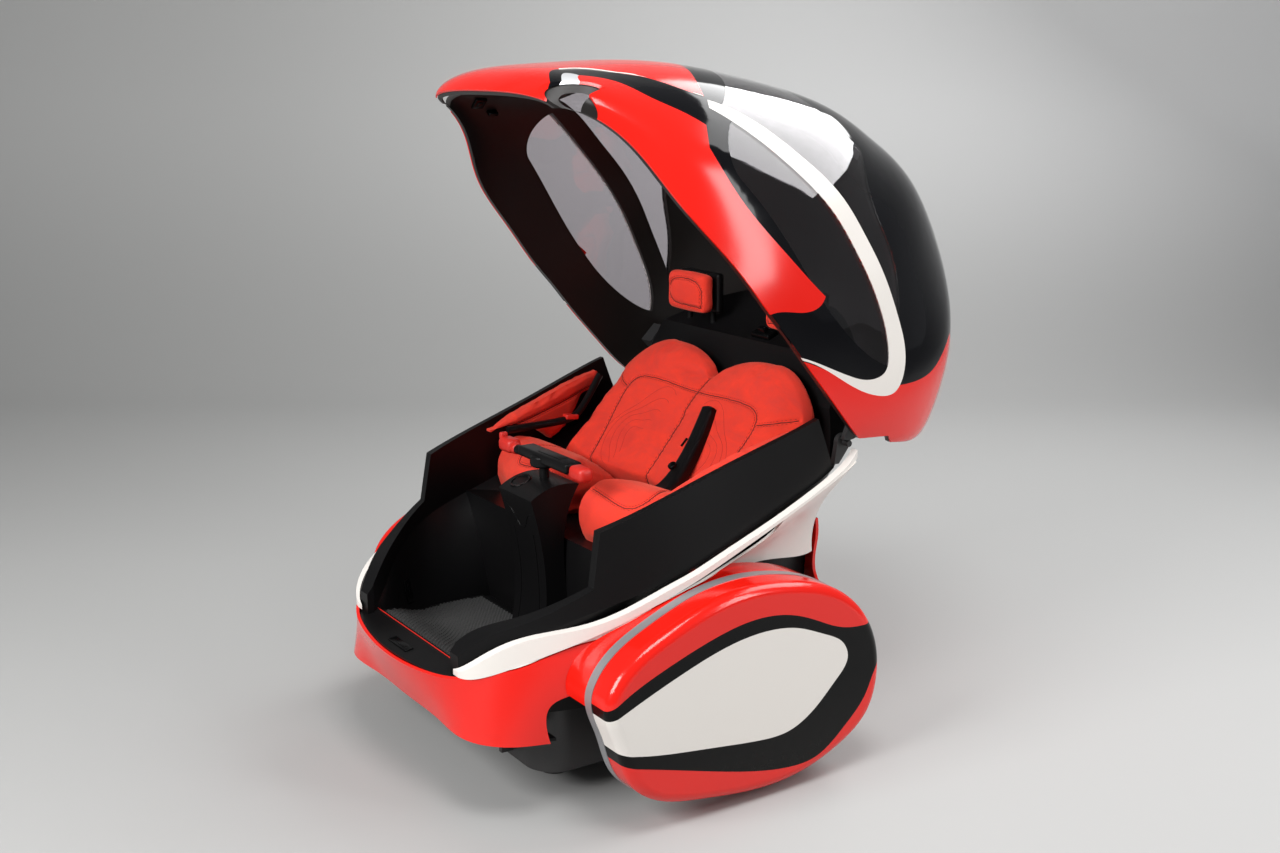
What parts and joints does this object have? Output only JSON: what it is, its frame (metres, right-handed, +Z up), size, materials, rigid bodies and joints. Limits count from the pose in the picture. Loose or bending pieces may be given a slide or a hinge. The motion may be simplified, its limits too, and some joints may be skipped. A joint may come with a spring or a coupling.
{
  "type": "electric personal mobility pod",
  "caption": "Two-seat electric mobility pod on two side-by-side wheels, with a clamshell canopy hinged at the rear and shown open, side pods over the wheels and retractable parking feet.",
  "frame": {"origin": "middle of the footprint on the floor, canopy open", "axes": "+X towards the vehicle's left side, +Y towards its rear, +Z up; metres"},
  "size_m": [1.424, 1.8478, 1.9378],
  "materials": {
    "red_paint": "gloss",
    "white_paint": "satin",
    "black_gloss": "gloss",
    "black_trim": "satin",
    "silver_trim": "satin",
    "tinted_glass": "clear",
    "lamp_lens": "gloss",
    "seat_cloth": "matt",
    "mat_weave": "matt",
    "tyre_rubber": "matt",
    "pad_rubber": "matt",
    "bare_alloy": "satin",
    "coated_metal": "satin"
  },
  "bodies": {
    "body": {"nose_apron": "red_paint", "front_wedges": "white_paint", "rim_bands": "white_paint", "haunches": "white_paint", "tub": "black_trim", "threshold_plate": "black_trim", "floor_mat": "mat_weave", "belly_pan": "black_trim", "seat_base": "black_trim", "seat_cushions": "seat_cloth", "seat_back": "seat_cloth", "centre_console": "black_trim", "side_bolsters": "seat_cloth", "rear_bulkhead": "black_trim", "headrests": "seat_cloth", "headrest_shells": "black_trim", "belt_guide": "black_trim", "hinge_brackets": "coated_metal", "chassis_tray": "coated_metal", "battery_pack": "bare_alloy", "knuckles": "coated_metal", "pod_shells": "red_paint", "pod_panels": "white_paint", "pod_bezels": "black_trim", "pod_trims": "silver_trim", "fenders": "red_paint", "rear_apron": "red_paint"},
    "canopy": {"canopy_face_panel": "red_paint", "windshield": "tinted_glass", "roof_panel": "black_gloss", "tail_panel": "red_paint", "window_hoops": "white_paint", "side_windows": "tinted_glass", "flank_panels": "red_paint", "crescent_lamps": "lamp_lens", "canopy_band": "black_gloss", "canopy_liner": "black_trim", "hinge_arms": "coated_metal"},
    "yoke": {"yoke_body": "black_trim", "yoke_grips": "red_paint"},
    "foot_front": {"parking_pad_front": "pad_rubber", "parking_foot_front": "coated_metal"},
    "foot_rear": {"parking_pad_rear": "pad_rubber", "parking_foot_rear": "coated_metal"},
    "wheel_left": {"tyre_left": "tyre_rubber", "wheel_rim_left": "bare_alloy"},
    "wheel_right": {"tyre_right": "tyre_rubber", "wheel_rim_right": "bare_alloy"}
  },
  "joints": [
    {"name": "canopy_hinge", "type": "hinge", "parent": "body", "child": "canopy", "pos_m": [0, 0.2753, 0.886], "axis": [1, 0, 0], "range_deg": [0, 71.3]},
    {"name": "yoke_pivot", "type": "hinge", "parent": "body", "child": "yoke", "pos_m": [0, -0.417, 0.828], "axis": [0, 0, 1], "range_deg": [-30, 30]},
    {"name": "wheel_left_spin", "type": "hinge", "parent": "body", "child": "wheel_left", "pos_m": [0.566, -0.117, 0.28], "axis": [1, 0, 0], "continuous": true},
    {"name": "wheel_right_spin", "type": "hinge", "parent": "body", "child": "wheel_right", "pos_m": [-0.566, -0.117, 0.28], "axis": [1, 0, 0], "continuous": true},
    {"name": "foot_front_lift", "type": "slide", "parent": "body", "child": "foot_front", "axis": [0, 0, 1], "range_m": [0, 0.05]},
    {"name": "foot_rear_lift", "type": "slide", "parent": "body", "child": "foot_rear", "axis": [0, 0, 1], "range_m": [0, 0.05]}
  ]
}
